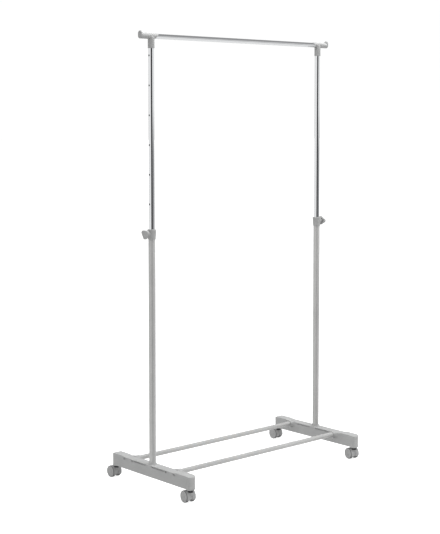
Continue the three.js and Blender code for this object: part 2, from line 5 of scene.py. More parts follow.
import bmesh
import bpy
import numpy as np
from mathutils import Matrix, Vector


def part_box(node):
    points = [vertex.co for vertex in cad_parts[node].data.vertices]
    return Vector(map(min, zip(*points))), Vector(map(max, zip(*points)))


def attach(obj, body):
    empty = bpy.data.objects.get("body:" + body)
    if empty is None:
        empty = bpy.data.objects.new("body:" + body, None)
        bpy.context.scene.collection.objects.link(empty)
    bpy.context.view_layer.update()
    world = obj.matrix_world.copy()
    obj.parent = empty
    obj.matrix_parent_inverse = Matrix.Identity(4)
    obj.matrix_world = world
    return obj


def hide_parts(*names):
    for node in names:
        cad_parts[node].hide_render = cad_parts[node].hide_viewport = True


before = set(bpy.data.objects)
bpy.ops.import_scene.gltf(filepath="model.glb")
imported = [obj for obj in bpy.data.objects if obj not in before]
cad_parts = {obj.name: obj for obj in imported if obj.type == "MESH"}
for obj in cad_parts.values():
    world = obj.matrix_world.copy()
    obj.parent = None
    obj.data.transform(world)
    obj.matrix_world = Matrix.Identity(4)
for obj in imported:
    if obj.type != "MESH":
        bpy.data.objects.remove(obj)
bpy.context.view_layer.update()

bl_info = {
    "name": "Rolling clothes rack",
    "version": (1, 0, 0),
    "blender": (4, 5, 0),
    "location": "View3D > Sidebar > Rack",
    "description": "Finishes the clothes rack: tubes, mouldings, casters, studio",
    "category": "Object",
}

MM = 0.001
TURN = 2 * math.pi
SIDES = {"left": -1, "right": 1}
ENDS = {"front": -1, "back": 1}
CORNERS = [f"{end}_{side}" for end in ENDS for side in SIDES]


def centre_of(node):
    """Middle of a frame node's box."""
    low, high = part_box(node)
    return (np.array(low) + np.array(high)) / 2


def size_of(node):
    """Width, depth and height of a frame node's box."""
    low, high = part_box(node)
    return np.array(high) - np.array(low)


# Places and sizes that the pieces share, read from the frame.
UPRIGHT_Y = centre_of("lower_tube_left")[1]
UPRIGHT_X = centre_of("lower_tube_right")[0]
LOWER_RADIUS = size_of("lower_tube_left")[0] / 2
UPPER_RADIUS = size_of("upper_tube_left")[0] / 2
CROSS_HEIGHT = centre_of("cross_tube_front")[2]
CROSS_RADIUS = size_of("cross_tube_front")[2] / 2
CROSS_PLACE = (centre_of("cross_tube_back")[1] - centre_of("cross_tube_front")[1]) / 2
RAIL_HEIGHT = centre_of("hanging_rail")[2]
RAIL_RADIUS = 9.5 * MM
LOCK_HEIGHT = centre_of("lock_screw_left")[2]
LOWER_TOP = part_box("lower_tube_left")[1][2]
BEAM_LOW = np.array(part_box("base_beam_right")[0])
BEAM_HIGH = np.array(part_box("base_beam_right")[1])
PAD_BOTTOM = BEAM_LOW[2]
AXLE = {corner: centre_of(f"caster_axle_{corner}") for corner in CORNERS}
SWIVEL = {corner: centre_of(f"caster_stem_{corner}") for corner in CORNERS}
TUBE_WALL = 1 * MM
GAP = 0.3 * MM  # between a tube and the socket or sleeve around it


# ------------------------------------------------------------------ user settings
class RackShape(bpy.types.PropertyGroup):
    """Sizes of the fine shapes that a user may change."""

    segments: bpy.props.IntProperty(
        name="Round segments", description="Sides of a round tube", default=96, min=24, max=192)
    beam_width: bpy.props.FloatProperty(
        name="Beam width", description="Width of a base beam", default=40 * MM, unit="LENGTH")
    beam_height: bpy.props.FloatProperty(
        name="Beam height", description="Height of a base beam between its ends",
        default=46 * MM, unit="LENGTH")
    beam_corner: bpy.props.FloatProperty(
        name="Beam corner", description="Corner radius of a base beam seen from above",
        default=14 * MM, unit="LENGTH")
    beam_wall: bpy.props.FloatProperty(
        name="Beam wall", description="Wall thickness of a base beam", default=3.8 * MM,
        unit="LENGTH")
    beam_edge: bpy.props.FloatProperty(
        name="Beam edge", description="Rounding of a base beam's top edge", default=2.1 * MM,
        unit="LENGTH")
    end_rise: bpy.props.FloatProperty(
        name="End rise", description="How much higher a beam's ends are", default=3 * MM,
        unit="LENGTH")
    hole_radius: bpy.props.FloatProperty(
        name="Hole radius", description="Radius of the height holes", default=3.5 * MM,
        unit="LENGTH")
    hole_pitch: bpy.props.FloatProperty(
        name="Hole pitch", description="Distance between height holes", default=112 * MM,
        unit="LENGTH")
    knob_reach: bpy.props.FloatProperty(
        name="Knob reach", description="From a knob's axis to the middle of each lobe",
        default=11.5 * MM, unit="LENGTH")
    knob_rounding: bpy.props.FloatProperty(
        name="Knob rounding", description="Radius of a knob's three lobes", default=8.5 * MM,
        unit="LENGTH")


class RackColours(bpy.types.PropertyGroup):
    """Colours of the finishes."""

    plastic: bpy.props.FloatVectorProperty(
        name="Plastic", description="Moulded beams, tees, collars and knobs", subtype="COLOR",
        size=3, default=(0.385, 0.388, 0.386), min=0, max=1)
    paint: bpy.props.FloatVectorProperty(
        name="Paint", description="Powder coat of the lower and cross tubes", subtype="COLOR",
        size=3, default=(0.50, 0.50, 0.495), min=0, max=1)
    chrome: bpy.props.FloatVectorProperty(
        name="Chrome", description="Chrome plate of the rail and upper tubes", subtype="COLOR",
        size=3, default=(0.80, 0.81, 0.82), min=0, max=1)
    caster: bpy.props.FloatVectorProperty(
        name="Caster", description="Housings and wheel discs", subtype="COLOR",
        size=3, default=(0.36, 0.362, 0.362), min=0, max=1)
    # Dark tread colour, painted as the shade under the wheels
    tyre: bpy.props.FloatVectorProperty(
        name="Tyre", description="Running faces of the wheels", subtype="COLOR",
        size=3, default=(0.12, 0.12, 0.122), min=0, max=1)


# ------------------------------------------------------------------ surfaces as arrays
def corner_arc(before, corner, after, radius, steps):
    """Points that round one corner: the arc touches both edges at radius / tan(half the angle)
    from the corner, and its centre lies on the bisector."""
    to_before = (before - corner) / np.linalg.norm(before - corner)
    to_after = (after - corner) / np.linalg.norm(after - corner)
    half = math.acos(np.clip(to_before @ to_after, -1, 1)) / 2
    reach = radius / math.tan(half)
    bisector = (to_before + to_after) / np.linalg.norm(to_before + to_after)
    centre = corner + bisector * radius / math.sin(half)
    start = corner + to_before * reach - centre
    end = corner + to_after * reach - centre
    sweep = math.pi - 2 * half
    t = np.linspace(0, 1, steps + 1)[:, None]
    return centre + (np.sin((1 - t) * sweep) * start + np.sin(t * sweep) * end) / math.sin(sweep)


def rounded(points, radii, steps=5, closed=True):
    """An outline whose corners are rounded by the given radii; a radius of 0 keeps the corner."""
    points = np.array(points, float)
    count = len(points)
    pieces = []
    for i, radius in enumerate(radii):
        inside = closed or 0 < i < count - 1
        if radius > 0 and inside:
            before, after = points[i - 1], points[(i + 1) % count]
            pieces.append(corner_arc(before, points[i], after, radius, steps))
        else:
            pieces.append(points[i:i + 1])
    return np.concatenate(pieces)


def grid_faces(rows, columns, wrap_rows=False, wrap_columns=True):
    """Quads of a grid of points, row by row: each joins a point to its next column and row."""
    row = np.arange(rows if wrap_rows else rows - 1)
    column = np.arange(columns if wrap_columns else columns - 1)
    r, c = np.meshgrid(row, column, indexing="ij")
    r1, c1 = (r + 1) % rows, (c + 1) % columns
    corners = [r * columns + c, r * columns + c1, r1 * columns + c1, r1 * columns + c]
    return np.stack(corners, -1).reshape(-1, 4)


def grid_shell(points, wrap_rows=False, wrap_columns=True):
    """A grid of points (rows, columns, 3) as (points, faces)."""
    rows, columns = points.shape[:2]
    return points.reshape(-1, 3), grid_faces(rows, columns, wrap_rows, wrap_columns).tolist()


def capped(points):
    """A grid of closed rings whose first and last rings are filled by flat faces."""
    rows, columns = points.shape[:2]
    shell_points, faces = grid_shell(points)
    last = (rows - 1) * columns
    faces += [list(range(columns)), list(range(last + columns - 1, last - 1, -1))]
    return shell_points, faces


def round_angles(count):
    """Evenly spaced angles once round, without the last, which is the first again."""
    return np.linspace(0, TURN, count, endpoint=False)


def turned(profile, segments, closed=True):
    """A profile of (radius, height) carried round the Z axis: x = r cos a, y = r sin a, z = h.
    A closed profile makes a ring; an open one starts and ends on the axis."""
    profile = np.array(profile, float)
    angle = round_angles(segments)
    radius, height = profile[:, :1], profile[:, 1:]
    points = np.stack([radius * np.cos(angle), radius * np.sin(angle),
                       np.broadcast_to(height, (len(profile), segments))], -1)
    return grid_shell(points, wrap_rows=closed)


def lathe(corners, softness, segments, closed=False, steps=5):
    """Corners of (radius, height), each rounded by its own softness in millimetres, carried round
    the Z axis."""
    return turned(rounded(corners, np.array(softness) * MM, steps, closed), segments, closed)


def rings_about_x(rows, angle):
    """Rings about the X axis from rows of (x, radius), each a number or one value for every angle:
    y = radius cos a, z = radius sin a."""
    rings = [np.column_stack([np.broadcast_to(x, angle.shape), radius * np.cos(angle),
                              radius * np.sin(angle)]) for x, radius in rows]
    return grid_shell(np.stack(rings))


def lying(shell):
    """Turns a shell so that its Z axis becomes X."""
    points, faces = shell
    return points[:, [2, 0, 1]], faces


def moved(shell, place, side=1):
    """Turns a shell by half a turn about Z for side -1, then moves it to its place."""
    points, faces = shell
    return points * [side, side, 1] + np.array(place), faces


def block(low, high):
    """A box from its lowest to its highest corner."""
    low, high = np.array(low, float), np.array(high, float)
    bits = np.array([[0, 0, 0], [1, 0, 0], [1, 1, 0], [0, 1, 0],
                     [0, 0, 1], [1, 0, 1], [1, 1, 1], [0, 1, 1]])
    faces = [[0, 3, 2, 1], [4, 5, 6, 7], [0, 1, 5, 4], [1, 2, 6, 5], [2, 3, 7, 6], [3, 0, 4, 7]]
    return low + bits * (high - low), faces


def prism(sections):
    """Outlines in Y and Z, each at its own x, joined along X and closed by flat ends."""
    rings = [np.column_stack([np.full(len(outline), x), outline]) for x, outline in sections]
    return capped(np.stack(rings))


def arc(centre, radius, start, end, steps):
    """Points on a circle in Y and Z from one angle to another, in degrees."""
    angle = np.radians(np.linspace(start, end, steps + 1))
    return np.column_stack([centre[0] + radius * np.cos(angle), centre[1] + radius * np.sin(angle)])


def smooth_step(value, low, high):
    """0 below low, 1 above high, and 3t^2 - 2t^3 between."""
    t = np.clip((value - low) / (high - low), 0, 1)
    return t * t * (3 - 2 * t)


def band(value, low, high, blur):
    """1 between low and high, falling to 0 over twice the blur at each edge."""
    rise = smooth_step(value, low - blur, low + blur)
    return rise * (1 - smooth_step(value, high - blur, high + blur))


# ------------------------------------------------------------------ pieces
WELD = 2e-6
SHARP = math.radians(38)


def finish_mesh(mesh):
    """Merges the points where grids meet and turns all faces outwards."""
    work = bmesh.new()
    work.from_mesh(mesh)
    bmesh.ops.remove_doubles(work, verts=work.verts, dist=WELD)
    bmesh.ops.dissolve_degenerate(work, dist=WELD, edges=work.edges)
    bmesh.ops.recalc_face_normals(work, faces=work.faces)
    work.to_mesh(mesh)
    work.free()


def fused(piece, voxel, rounds):
    """Joins a piece's overlapping shells into one skin and softens its inner corners."""
    remesh = piece.modifiers.new("fuse", "REMESH")
    remesh.mode = "VOXEL"
    remesh.voxel_size = voxel
    soften = piece.modifiers.new("soften", "SMOOTH")
    soften.factor = 0.5
    soften.iterations = rounds
    result = piece.evaluated_get(bpy.context.evaluated_depsgraph_get())
    mesh = bpy.data.meshes.new_from_object(result)
    piece.modifiers.clear()
    piece.data = mesh


def add_piece(name, shells, look, body, nodes, slot, voxel=0, rounds=0):
    """Makes one piece from its shells, joined to a body and standing for frame nodes. With a voxel
    size its shells are fused."""
    points, faces, first = [], [], 0
    for shell_points, shell_faces in shells:
        points.append(shell_points)
        faces += [[first + i for i in face] for face in shell_faces]
        first += len(shell_points)
    mesh = bpy.data.meshes.new(name)
    mesh.from_pydata(np.concatenate(points).tolist(), [], faces)
    finish_mesh(mesh)
    piece = bpy.data.objects.new(name, mesh)
    bpy.context.scene.collection.objects.link(piece)
    if voxel:
        fused(piece, voxel, rounds)
    piece.data.shade_smooth()
    if not voxel:
        piece.data.set_sharp_from_angle(angle=SHARP)
    piece.data.materials.clear()
    piece.data.materials.append(look)
    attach(piece, body)
    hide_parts(*nodes)
    return piece


def face_centres(piece):
    """Middles of a piece's faces, one row for each face."""
    centres = np.empty(len(piece.data.polygons) * 3, np.float32)
    piece.data.polygons.foreach_get("center", centres)
    return centres.reshape(-1, 3)


def paint_faces(piece, marked, second_finish):
    """Gives the marked faces of a piece a second finish."""
    piece.data.materials.append(second_finish)
    piece.data.polygons.foreach_set("material_index", marked.astype(np.int32))


# ------------------------------------------------------------------ finishes
class Nodes:
    """Short ways to add and join shader nodes in one material or world."""

    def __init__(self, owner):
        owner.use_nodes = True
        self.tree = owner.node_tree
        self.tree.nodes.clear()

    def add(self, kind, **values):
        """A new node; each value goes to the property or else to the input of that name."""
        node = self.tree.nodes.new(kind)
        for key, value in values.items():
            if hasattr(node, key):
                setattr(node, key, value)
            else:
                node.inputs[key.replace("_", " ")].default_value = value
        return node

    def link(self, source, target):
        self.tree.links.new(source, target)

    def feed(self, socket, value):
        """Links an output to a socket, or writes a plain value into it."""
        if hasattr(value, "default_value"):
            self.link(value, socket)
        else:
            socket.default_value = value

    def noise(self, coordinates, scale, detail, roughness):
        texture = self.add("ShaderNodeTexNoise", Scale=scale, Detail=detail, Roughness=roughness)
        self.link(coordinates, texture.inputs["Vector"])
        return texture.outputs["Fac"]

    def ramp(self, value, low, high, start=0.3, end=0.7):
        """Maps a value from start..end to low..high."""
        node = self.add("ShaderNodeMapRange", From_Min=start, From_Max=end, To_Min=low, To_Max=high)
        self.link(value, node.inputs["Value"])
        return node.outputs["Result"]

    def math(self, operation, *values):
        node = self.add("ShaderNodeMath", operation=operation)
        for socket, value in zip(node.inputs, values):
            self.feed(socket, value)
        return node.outputs[0]

    def mix(self, factor, first, second):
        """The first colour where the factor is 0 and the second where it is 1. The node keeps its
        colours in inputs 6 and 7 and in output 2."""
        node = self.add("ShaderNodeMix", data_type="RGBA")
        self.feed(node.inputs["Factor"], factor)
        self.feed(node.inputs[6], first)
        self.feed(node.inputs[7], second)
        return node.outputs[2]

    def choose(self, factor, first, second):
        """The first shader where the factor is 0 and the second where it is 1."""
        node = self.add("ShaderNodeMixShader")
        for socket, source in zip(node.inputs, (factor, first, second)):
            self.link(source, socket)
        return node.outputs[0]


def tinted(colour, factor):
    """A colour made lighter or darker."""
    return (*[min(1.0, c * factor) for c in colour], 1.0)


def new_finish(name, colour, metallic, roughness, spread, grain, bump, cloud=12.0, contrast=0.05,
               gloss=0.5):
    """A finish whose colour drifts in soft clouds, whose roughness follows a finer grain, and
    whose surface is raised by that grain."""
    material = bpy.data.materials.new(name)
    shader = Nodes(material)
    output = shader.add("ShaderNodeOutputMaterial")
    surface = shader.add("ShaderNodeBsdfPrincipled", Metallic=metallic, Specular_IOR_Level=gloss)
    coordinates = shader.add("ShaderNodeTexCoord").outputs["Object"]
    clouds = shader.noise(coordinates, cloud, 4.0, 0.6)
    shade = shader.mix(shader.ramp(clouds, 0.0, 1.0), tinted(colour, 1 - contrast),
                       tinted(colour, 1 + contrast))
    shader.link(shade, surface.inputs["Base Color"])
    fine = shader.noise(coordinates, grain, 2.0, 0.55)
    shader.link(shader.ramp(fine, roughness - spread, roughness + spread),
                surface.inputs["Roughness"])
    raise_surface = shader.add("ShaderNodeBump", Strength=bump, Distance=0.1 * MM)
    shader.link(fine, raise_surface.inputs["Height"])
    shader.link(raise_surface.outputs["Normal"], surface.inputs["Normal"])
    shader.link(surface.outputs["BSDF"], output.inputs["Surface"])
    return material


FINISHES = {}


def finish(name):
    """The named finish, made the first time that it is asked for."""
    if name not in FINISHES:
        colours = bpy.context.scene.rack_colours
        recipes = {
            "moulded_grey": dict(colour=colours.plastic, metallic=0, roughness=0.5, spread=0.06,
                                 grain=2600, bump=0.12),
            "powder_coat": dict(colour=colours.paint, metallic=0.3, roughness=0.3, spread=0.05,
                                grain=900, bump=0.15, gloss=0.2),
            "chrome_plate": dict(colour=colours.chrome, metallic=1, roughness=0.07, spread=0.025,
                                 grain=160, bump=0.012, contrast=0.012),
            "zinc_plate": dict(colour=(0.62, 0.63, 0.64), metallic=1, roughness=0.36, spread=0.08,
                               grain=1400, bump=0.12, cloud=90, contrast=0.12),
            "bare_steel": dict(colour=(0.1, 0.1, 0.1), metallic=0.6, roughness=0.6, spread=0.1,
                               grain=700, bump=0.3, cloud=60, contrast=0.2),
            "turned_brass": dict(colour=(0.72, 0.56, 0.28), metallic=1, roughness=0.3, spread=0.06,
                                 grain=1800, bump=0.1),
            # Dark plastic of the plugs and glides, also painted on the caster seats as shade
            "dark_plastic": dict(colour=(0.045, 0.045, 0.048), metallic=0, roughness=0.5,
                                 spread=0.08, grain=2200, bump=0.2, contrast=0.15),
            "caster_grey": dict(colour=colours.caster, metallic=0, roughness=0.42, spread=0.06,
                                grain=2400, bump=0.12),
            # Painted shade: a dark tread that stands in for the shade under the wheels
            "tread_painted_shade": dict(colour=colours.tyre, metallic=0, roughness=0.62, spread=0.1,
                               grain=1500, bump=0.45, cloud=160, contrast=0.25),
        }
        FINISHES[name] = new_finish(name, **recipes[name])
    return FINISHES[name]


def add_pair(name, shells, body, node, height, **fusing):
    """Makes the left and the right moulding of a pair from the shells of the right one, which are
    about its upright and that height."""
    for side, sign in SIDES.items():
        place = [sign * UPRIGHT_X, UPRIGHT_Y, height]
        add_piece(f"moulded_{name}_{side}", [moved(shell, place, sign) for shell in shells],
                  finish("moulded_grey"), body, [f"{node}_{side}"], "grey_plastic", **fusing)


# ------------------------------------------------------------------ tubes
def tube_ring(radius, low, high, segments):
    """A straight tube along Z with rounded ends: a rectangle of wall by length carried round."""
    inner, soft = radius - TUBE_WALL, 0.3 * TUBE_WALL
    outline = rounded([(inner, low), (radius, low), (radius, high), (inner, high)], [soft] * 4, 3)
    return turned(outline, segments)


def drilled_tube(radius, low, high, holes, hole_radius, segments):
    """A tube along Z with round holes on its +X side. Round each hole a square patch of the
    cylinder is swapped for rings that pass from the square to the circle in a few steps."""
    reach = 7  # columns of the patch on each side of the hole
    tall = 5 * MM  # the patch's height above and below the hole's middle
    rows_per_hole = 10
    bands = [np.linspace(z - tall, z + tall, rows_per_hole + 1) for z in holes]
    heights = np.concatenate([[low], *bands, [high]])
    angles = np.arange(segments) * TURN / segments
    in_band = np.arange(len(heights) - 1) % (rows_per_hole + 1) != 0
    column = (np.arange(segments) + reach) % segments
    open_patch = in_band[:, None] & (column < 2 * reach)[None, :]
    step = TURN / segments
    across = np.arange(-reach, reach + 1) * step
    up = np.linspace(-tall, tall, rows_per_hole + 1)
    square = np.concatenate([
        np.column_stack([across[:-1], np.full(2 * reach, -tall)]),
        np.column_stack([np.full(rows_per_hole, across[-1]), up[:-1]]),
        np.column_stack([across[:0:-1], np.full(2 * reach, tall)]),
        np.column_stack([np.full(rows_per_hole, across[0]), up[:0:-1]])])
    way = np.arctan2(square[:, 1], square[:, 0] * radius)
    circle = np.column_stack([hole_radius * np.cos(way) / radius, hole_radius * np.sin(way)])
    blends = np.array([0, 0.3, 0.6, 0.85, 1])[:, None, None]
    rings = square * (1 - blends) + circle * blends

    def on_cylinder(angle, height, r):
        height = np.broadcast_to(height, np.shape(angle))
        return np.stack([r * np.cos(angle), r * np.sin(angle), height], -1)

    shells = []
    walls = (radius, radius - TUBE_WALL)
    for r in walls:
        grid = on_cylinder(np.broadcast_to(angles, (len(heights), segments)), heights[:, None], r)
        faces = grid_faces(len(heights), segments)[~open_patch.ravel()]
        shells.append((grid.reshape(-1, 3), faces.tolist()))
        for z in holes:
            shells.append(grid_shell(on_cylinder(rings[..., 0], z + rings[..., 1], r)))
    for z in holes:
        edge = [on_cylinder(circle[:, 0], z + circle[:, 1], r) for r in walls]
        shells.append(grid_shell(np.stack(edge)))
    for z in (low, high):
        ring = [on_cylinder(angles, np.full(segments, z), r) for r in walls]
        shells.append(grid_shell(np.stack(ring)))
    return shells


class RACK_OT_painted_tubes(bpy.types.Operator):
    """Makes the powder-coated lower tubes and cross tubes"""

    bl_idname = "rack.painted_tubes"
    bl_label = "Painted tubes"

    def execute(self, context):
        segments = context.scene.rack_shape.segments
        for side in SIDES:
            node = f"lower_tube_{side}"
            low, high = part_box(node)
            tube = tube_ring(LOWER_RADIUS, low[2], high[2], segments)
            place = [centre_of(node)[0], UPRIGHT_Y, 0]
            add_piece(f"painted_{node}", [moved(tube, place)], finish("powder_coat"),
                      "lower_frame", [node], "grey_paint")
        for end in ENDS:
            node = f"cross_tube_{end}"
            low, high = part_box(node)
            tube = lying(tube_ring(CROSS_RADIUS, low[0], high[0], segments))
            place = [0, centre_of(node)[1], CROSS_HEIGHT]
            add_piece(f"painted_{node}", [moved(tube, place)], finish("powder_coat"),
                      "lower_frame", [node], "grey_paint")
        return {"FINISHED"}


def paint_bore(tube, place):
    """Gives the faces on the inner side of an upper tube's wall the finish of bare steel."""
    x, y, _ = face_centres(tube).T
    inside = np.hypot(x - place[0], y - place[1]) < UPPER_RADIUS - TUBE_WALL / 2
    paint_faces(tube, inside, finish("bare_steel"))


class RACK_OT_chrome_tubes(bpy.types.Operator):
    """Makes the chrome upper tubes with their height holes and the hanging rail"""

    bl_idname = "rack.chrome_tubes"
    bl_label = "Chrome tubes"

    def execute(self, context):
        shape = context.scene.rack_shape
        for side, sign in SIDES.items():
            node = f"upper_tube_{side}"
            low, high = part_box(node)
            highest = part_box(f"tee_{side}")[0][2] - 10 * MM
            holes = np.arange(LOCK_HEIGHT, highest, shape.hole_pitch)
            shells = drilled_tube(UPPER_RADIUS, low[2], high[2], holes, shape.hole_radius,
                                  shape.segments)
            place = [sign * UPRIGHT_X, UPRIGHT_Y, 0]
            tube = add_piece(f"chrome_{node}", [moved(s, place, sign) for s in shells],
                             finish("chrome_plate"), "upper_frame", [node], "chrome")
            paint_bore(tube, place)
        low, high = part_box("hanging_rail")
        rail = lying(tube_ring(RAIL_RADIUS, low[0], high[0], shape.segments))
        add_piece("chrome_hanging_rail", [moved(rail, [0, UPRIGHT_Y, RAIL_HEIGHT])],
                  finish("chrome_plate"), "upper_frame", ["hanging_rail"], "chrome")
        return {"FINISHED"}


# ------------------------------------------------------------------ base beams
# Places along a beam count from its upright, and heights of the end lines from its lower edge. A
# long groove and two notches are cut into each flank under the top edge, and three lines run
# round each end.
GROOVE = (18 * MM, 92 * MM)
GROOVE_HEIGHT, GROOVE_DEPTH = 5 * MM, 3.3 * MM
NOTCHES = ((97.5 * MM, 108.5 * MM), (145.5 * MM, 156.5 * MM))
NOTCH_HEIGHT, NOTCH_DEPTH = 7 * MM, 3.6 * MM
CUT_DROP, CUT_SOFT = 2.4 * MM, 0.15 * MM
LINES = (12 * MM, 20 * MM, 28 * MM)
LINE_HEIGHT, LINE_DEPTH, LINE_SOFT = 1.5 * MM, 0.6 * MM, 0.3 * MM
LINES_FADE = (216 * MM, 219 * MM)
RISE = (148 * MM, 171 * MM)
DROOP, DROOP_LENGTH = 4.5 * MM, 18 * MM
PAD_RADIUS, PAD_DROP = 18 * MM, 4.2 * MM
RIBS = (74 * MM, 160 * MM)


def beam_outline(shape, half_length):
    """Base points and outward normals of a rectangle with round corners, once round. Its long
    sides have extra points at the ends of the cuts and where the top rises."""
    half, corner = shape.beam_width / 2, shape.beam_corner
    straight = half_length - corner
    ramp = np.linspace(150 * MM, 170 * MM, 9)
    marks = np.array([0, *GROOVE, *NOTCHES[0], *NOTCHES[1], *ramp[::4]])
    fine = np.concatenate([marks + offset for offset in (-0.2 * MM, 0, 0.2 * MM)])
    plain = np.linspace(0, straight, 23)
    stations = np.concatenate([fine, plain, ramp])
    stations = np.unique(np.round(stations[(stations >= 0) & (stations <= straight)], 7))
    along = np.concatenate([-stations[:0:-1], stations])
    angle = np.linspace(0, math.pi / 2, 13)[1:-1]
    turn = np.column_stack([np.cos(angle), np.sin(angle)])
    across = np.linspace(half - corner, -(half - corner), 5)
    side = np.column_stack([np.full(len(along), half), along])
    side_normal = np.tile([1.0, 0.0], (len(along), 1))
    arc_points = np.array([half - corner, straight]) + corner * turn
    end = np.column_stack([across, np.full(len(across), half_length)])
    end_normal = np.tile([0.0, 1.0], (len(across), 1))
    second = (arc_points * [-1, 1])[::-1]
    second_normal = (turn * [-1, 1])[::-1]
    half_points = np.concatenate([side, arc_points, end, second])
    half_normals = np.concatenate([side_normal, turn, end_normal, second_normal])
    points = np.concatenate([half_points, -half_points])
    return points, np.concatenate([half_normals, -half_normals])


def beam_cuts(points, normal, height, bottom, top):
    """Depth of the groove and notches on the flanks and of the lines round the ends."""
    along, flank = np.abs(points[:, 1]), np.abs(normal[:, 0]) > 0.99
    high = top - CUT_DROP
    groove = band(along, *GROOVE, CUT_SOFT) * band(height, high - GROOVE_HEIGHT, high, CUT_SOFT)
    notch = sum(band(along, *place, CUT_SOFT) for place in NOTCHES)
    notch = notch * band(height, high - NOTCH_HEIGHT, high, CUT_SOFT)
    lines = sum(band(height, bottom + z, bottom + z + LINE_HEIGHT, LINE_SOFT) for z in LINES)
    ends = smooth_step(along, *LINES_FADE) * lines
    return flank * (groove * GROOVE_DEPTH + notch * NOTCH_DEPTH) + ends * LINE_DEPTH


def beam_skin(shape, bottom, half_length):
    """The hollow beam as one grid: columns go round the outline, rows run from the middle of the
    top over the rounded edge, down the wall, round the lip and up the inside to its middle. A row
    is the outline moved in by a depth. Towards the ends the top eases up by the end rise, and over
    the last stretch it droops by the square of the distance."""
    outline, normal = beam_outline(shape, half_length)
    half, corner = shape.beam_width / 2, shape.beam_corner
    wall, edge = shape.beam_wall, shape.beam_edge
    top = bottom + shape.beam_height

    def inset(depth):
        depth = np.broadcast_to(depth, (len(outline),))[:, None]
        kept = outline - normal * np.minimum(depth, corner)
        limit = np.array([half, half_length]) - depth
        return np.clip(kept, -limit, limit)

    def top_height(points):
        along = np.abs(points[:, 1])
        droop = np.maximum(along - (half_length - DROOP_LENGTH), 0) / DROOP_LENGTH
        return top + shape.end_rise * smooth_step(along, *RISE) - DROOP * droop ** 2

    rows = []

    def add_row(points, height):
        rows.append(np.column_stack([points, np.broadcast_to(height, (len(points),))]))

    for depth in (half, 0.8 * half, 0.6 * half, 0.42 * half, 0.25 * half):
        points = inset(depth)
        add_row(points, top_height(points))
    for angle in np.linspace(math.pi / 2, 0, 7):
        points = inset(edge * (1 - math.cos(angle)))
        add_row(points, top_height(points) - edge * (1 - math.sin(angle)))
    levels = [top - CUT_DROP - z + s for z in (0, GROOVE_HEIGHT, NOTCH_HEIGHT)
              for s in (-CUT_SOFT, CUT_SOFT)]
    levels += [bottom + line + step * MM for line in LINES for step in (-0.6, 0, 0.8, 1.8)]
    levels += [bottom + z * MM for z in (0.6, 3, 7, 33, 36)]
    for level in sorted(levels, reverse=True):
        points = inset(0)
        stretch = (top_height(points) - edge - bottom) / (shape.beam_height - edge)
        height = bottom + (level - bottom) * stretch
        add_row(inset(beam_cuts(points, normal, height, bottom, top)), height)
    for depth, height in ((0.15, 0.15), (0.6, 0), (wall / MM - 0.6, 0), (wall / MM - 0.15, 0.15)):
        add_row(inset(depth * MM), bottom + height * MM)
    for share in (0.05, 0.5, 0.97):
        points = inset(wall)
        add_row(points, bottom + (top_height(points) - wall - bottom) * share)
    for depth in (1.05 * wall, 0.4 * half, 0.7 * half, half):
        points = inset(depth)
        add_row(points, top_height(points) - wall)
    return grid_shell(np.stack(rows))


def upright_boss(bottom, top):
    """Socket of an upright: a tapered ring on the beam's top, solid down to the bolt."""
    bore, seat, mouth = LOWER_RADIUS + GAP, bottom + 10 * MM, top + 6 * MM
    lip, foot = bore + 1.5 * MM, bore + 3.4 * MM
    bolt, head, recess = 4.3 * MM, 8.3 * MM, bottom + 6 * MM
    corners = [(bolt, seat), (bore, seat), (bore, mouth), (lip, mouth), (foot, top - 1 * MM),
               (foot, bottom), (head, bottom), (head, recess), (bolt, recess)]
    return lathe(corners, (0, 0, 0.4, 1, 1.2, 0.8, 0.5, 0, 0), 72, closed=True)


def superellipse(angle, x, width, high, low, power):
    """A ring across X of half width w and power n, from low to high, with half height h:
    y = w cos^(2/n) a, z = middle + h sin^(2/n) a, each with the sign of its sine or cosine."""
    cosine, sine = np.cos(angle), np.sin(angle)
    middle, half = (high + low) / 2, (high - low) / 2
    return np.column_stack([np.full_like(angle, x),
                            width * np.sign(cosine) * np.abs(cosine) ** (2 / power),
                            middle + half * np.sign(sine) * np.abs(sine) ** (2 / power)])


def cross_boss(y):
    """Socket of a cross tube on the beam's inner side, superellipses joined along X. Towards the
    beam the width grows along a quarter circle and the power from 2 to 3; inside the beam the
    rings sink under the top. A round pad below takes the screw."""
    bore = CROSS_RADIUS + GAP
    seat, mouth, root, end = -13.7 * MM, BEAM_LOW[0] - UPRIGHT_X, -20 * MM, -11 * MM
    lip, rim, flare, sink = bore + 2.1 * MM, 1 * MM, 18 * MM, 1.2 * MM
    rows = [(seat, 0, 0, 0, 2), (seat, bore, bore, -bore, 2),
            (mouth + 0.4 * MM, bore, bore, -bore, 2)]
    for way in np.linspace(0, math.pi / 2, 5):
        edge = lip - rim * (1 - math.sin(way))
        rows.append((mouth + rim * (1 - math.cos(way)), edge, edge, -edge, 2))
    for share in np.linspace(0.08, 1, 14):
        spread = flare * (1 - math.sqrt(1 - min(share, 0.999) ** 2))
        rows.append((mouth + rim + (root - mouth - rim) * share, lip + spread,
                     lip - sink * share, -lip - 0.5 * MM * share, 2 + share))
    for share in np.linspace(0.2, 1, 6):
        rows.append((root + (end - root) * share, lip + flare,
                     lip - sink - 7 * MM * share ** 2, -lip, 3))
    rows.append((end, 0, 0, 0, 2))
    angle = round_angles(72)
    loft = grid_shell(np.stack([superellipse(angle, *row) for row in rows]))
    low, high, radius = CROSS_HEIGHT - lip - 2.4 * MM, CROSS_HEIGHT - 8 * MM, 5.6 * MM
    pad = lathe([(0, low), (radius, low), (radius, high), (0, high)], (0, 0.6, 0, 0), 40)
    return [moved(loft, [0, y, CROSS_HEIGHT]), moved(pad, [mouth + 7 * MM, y, 0])]


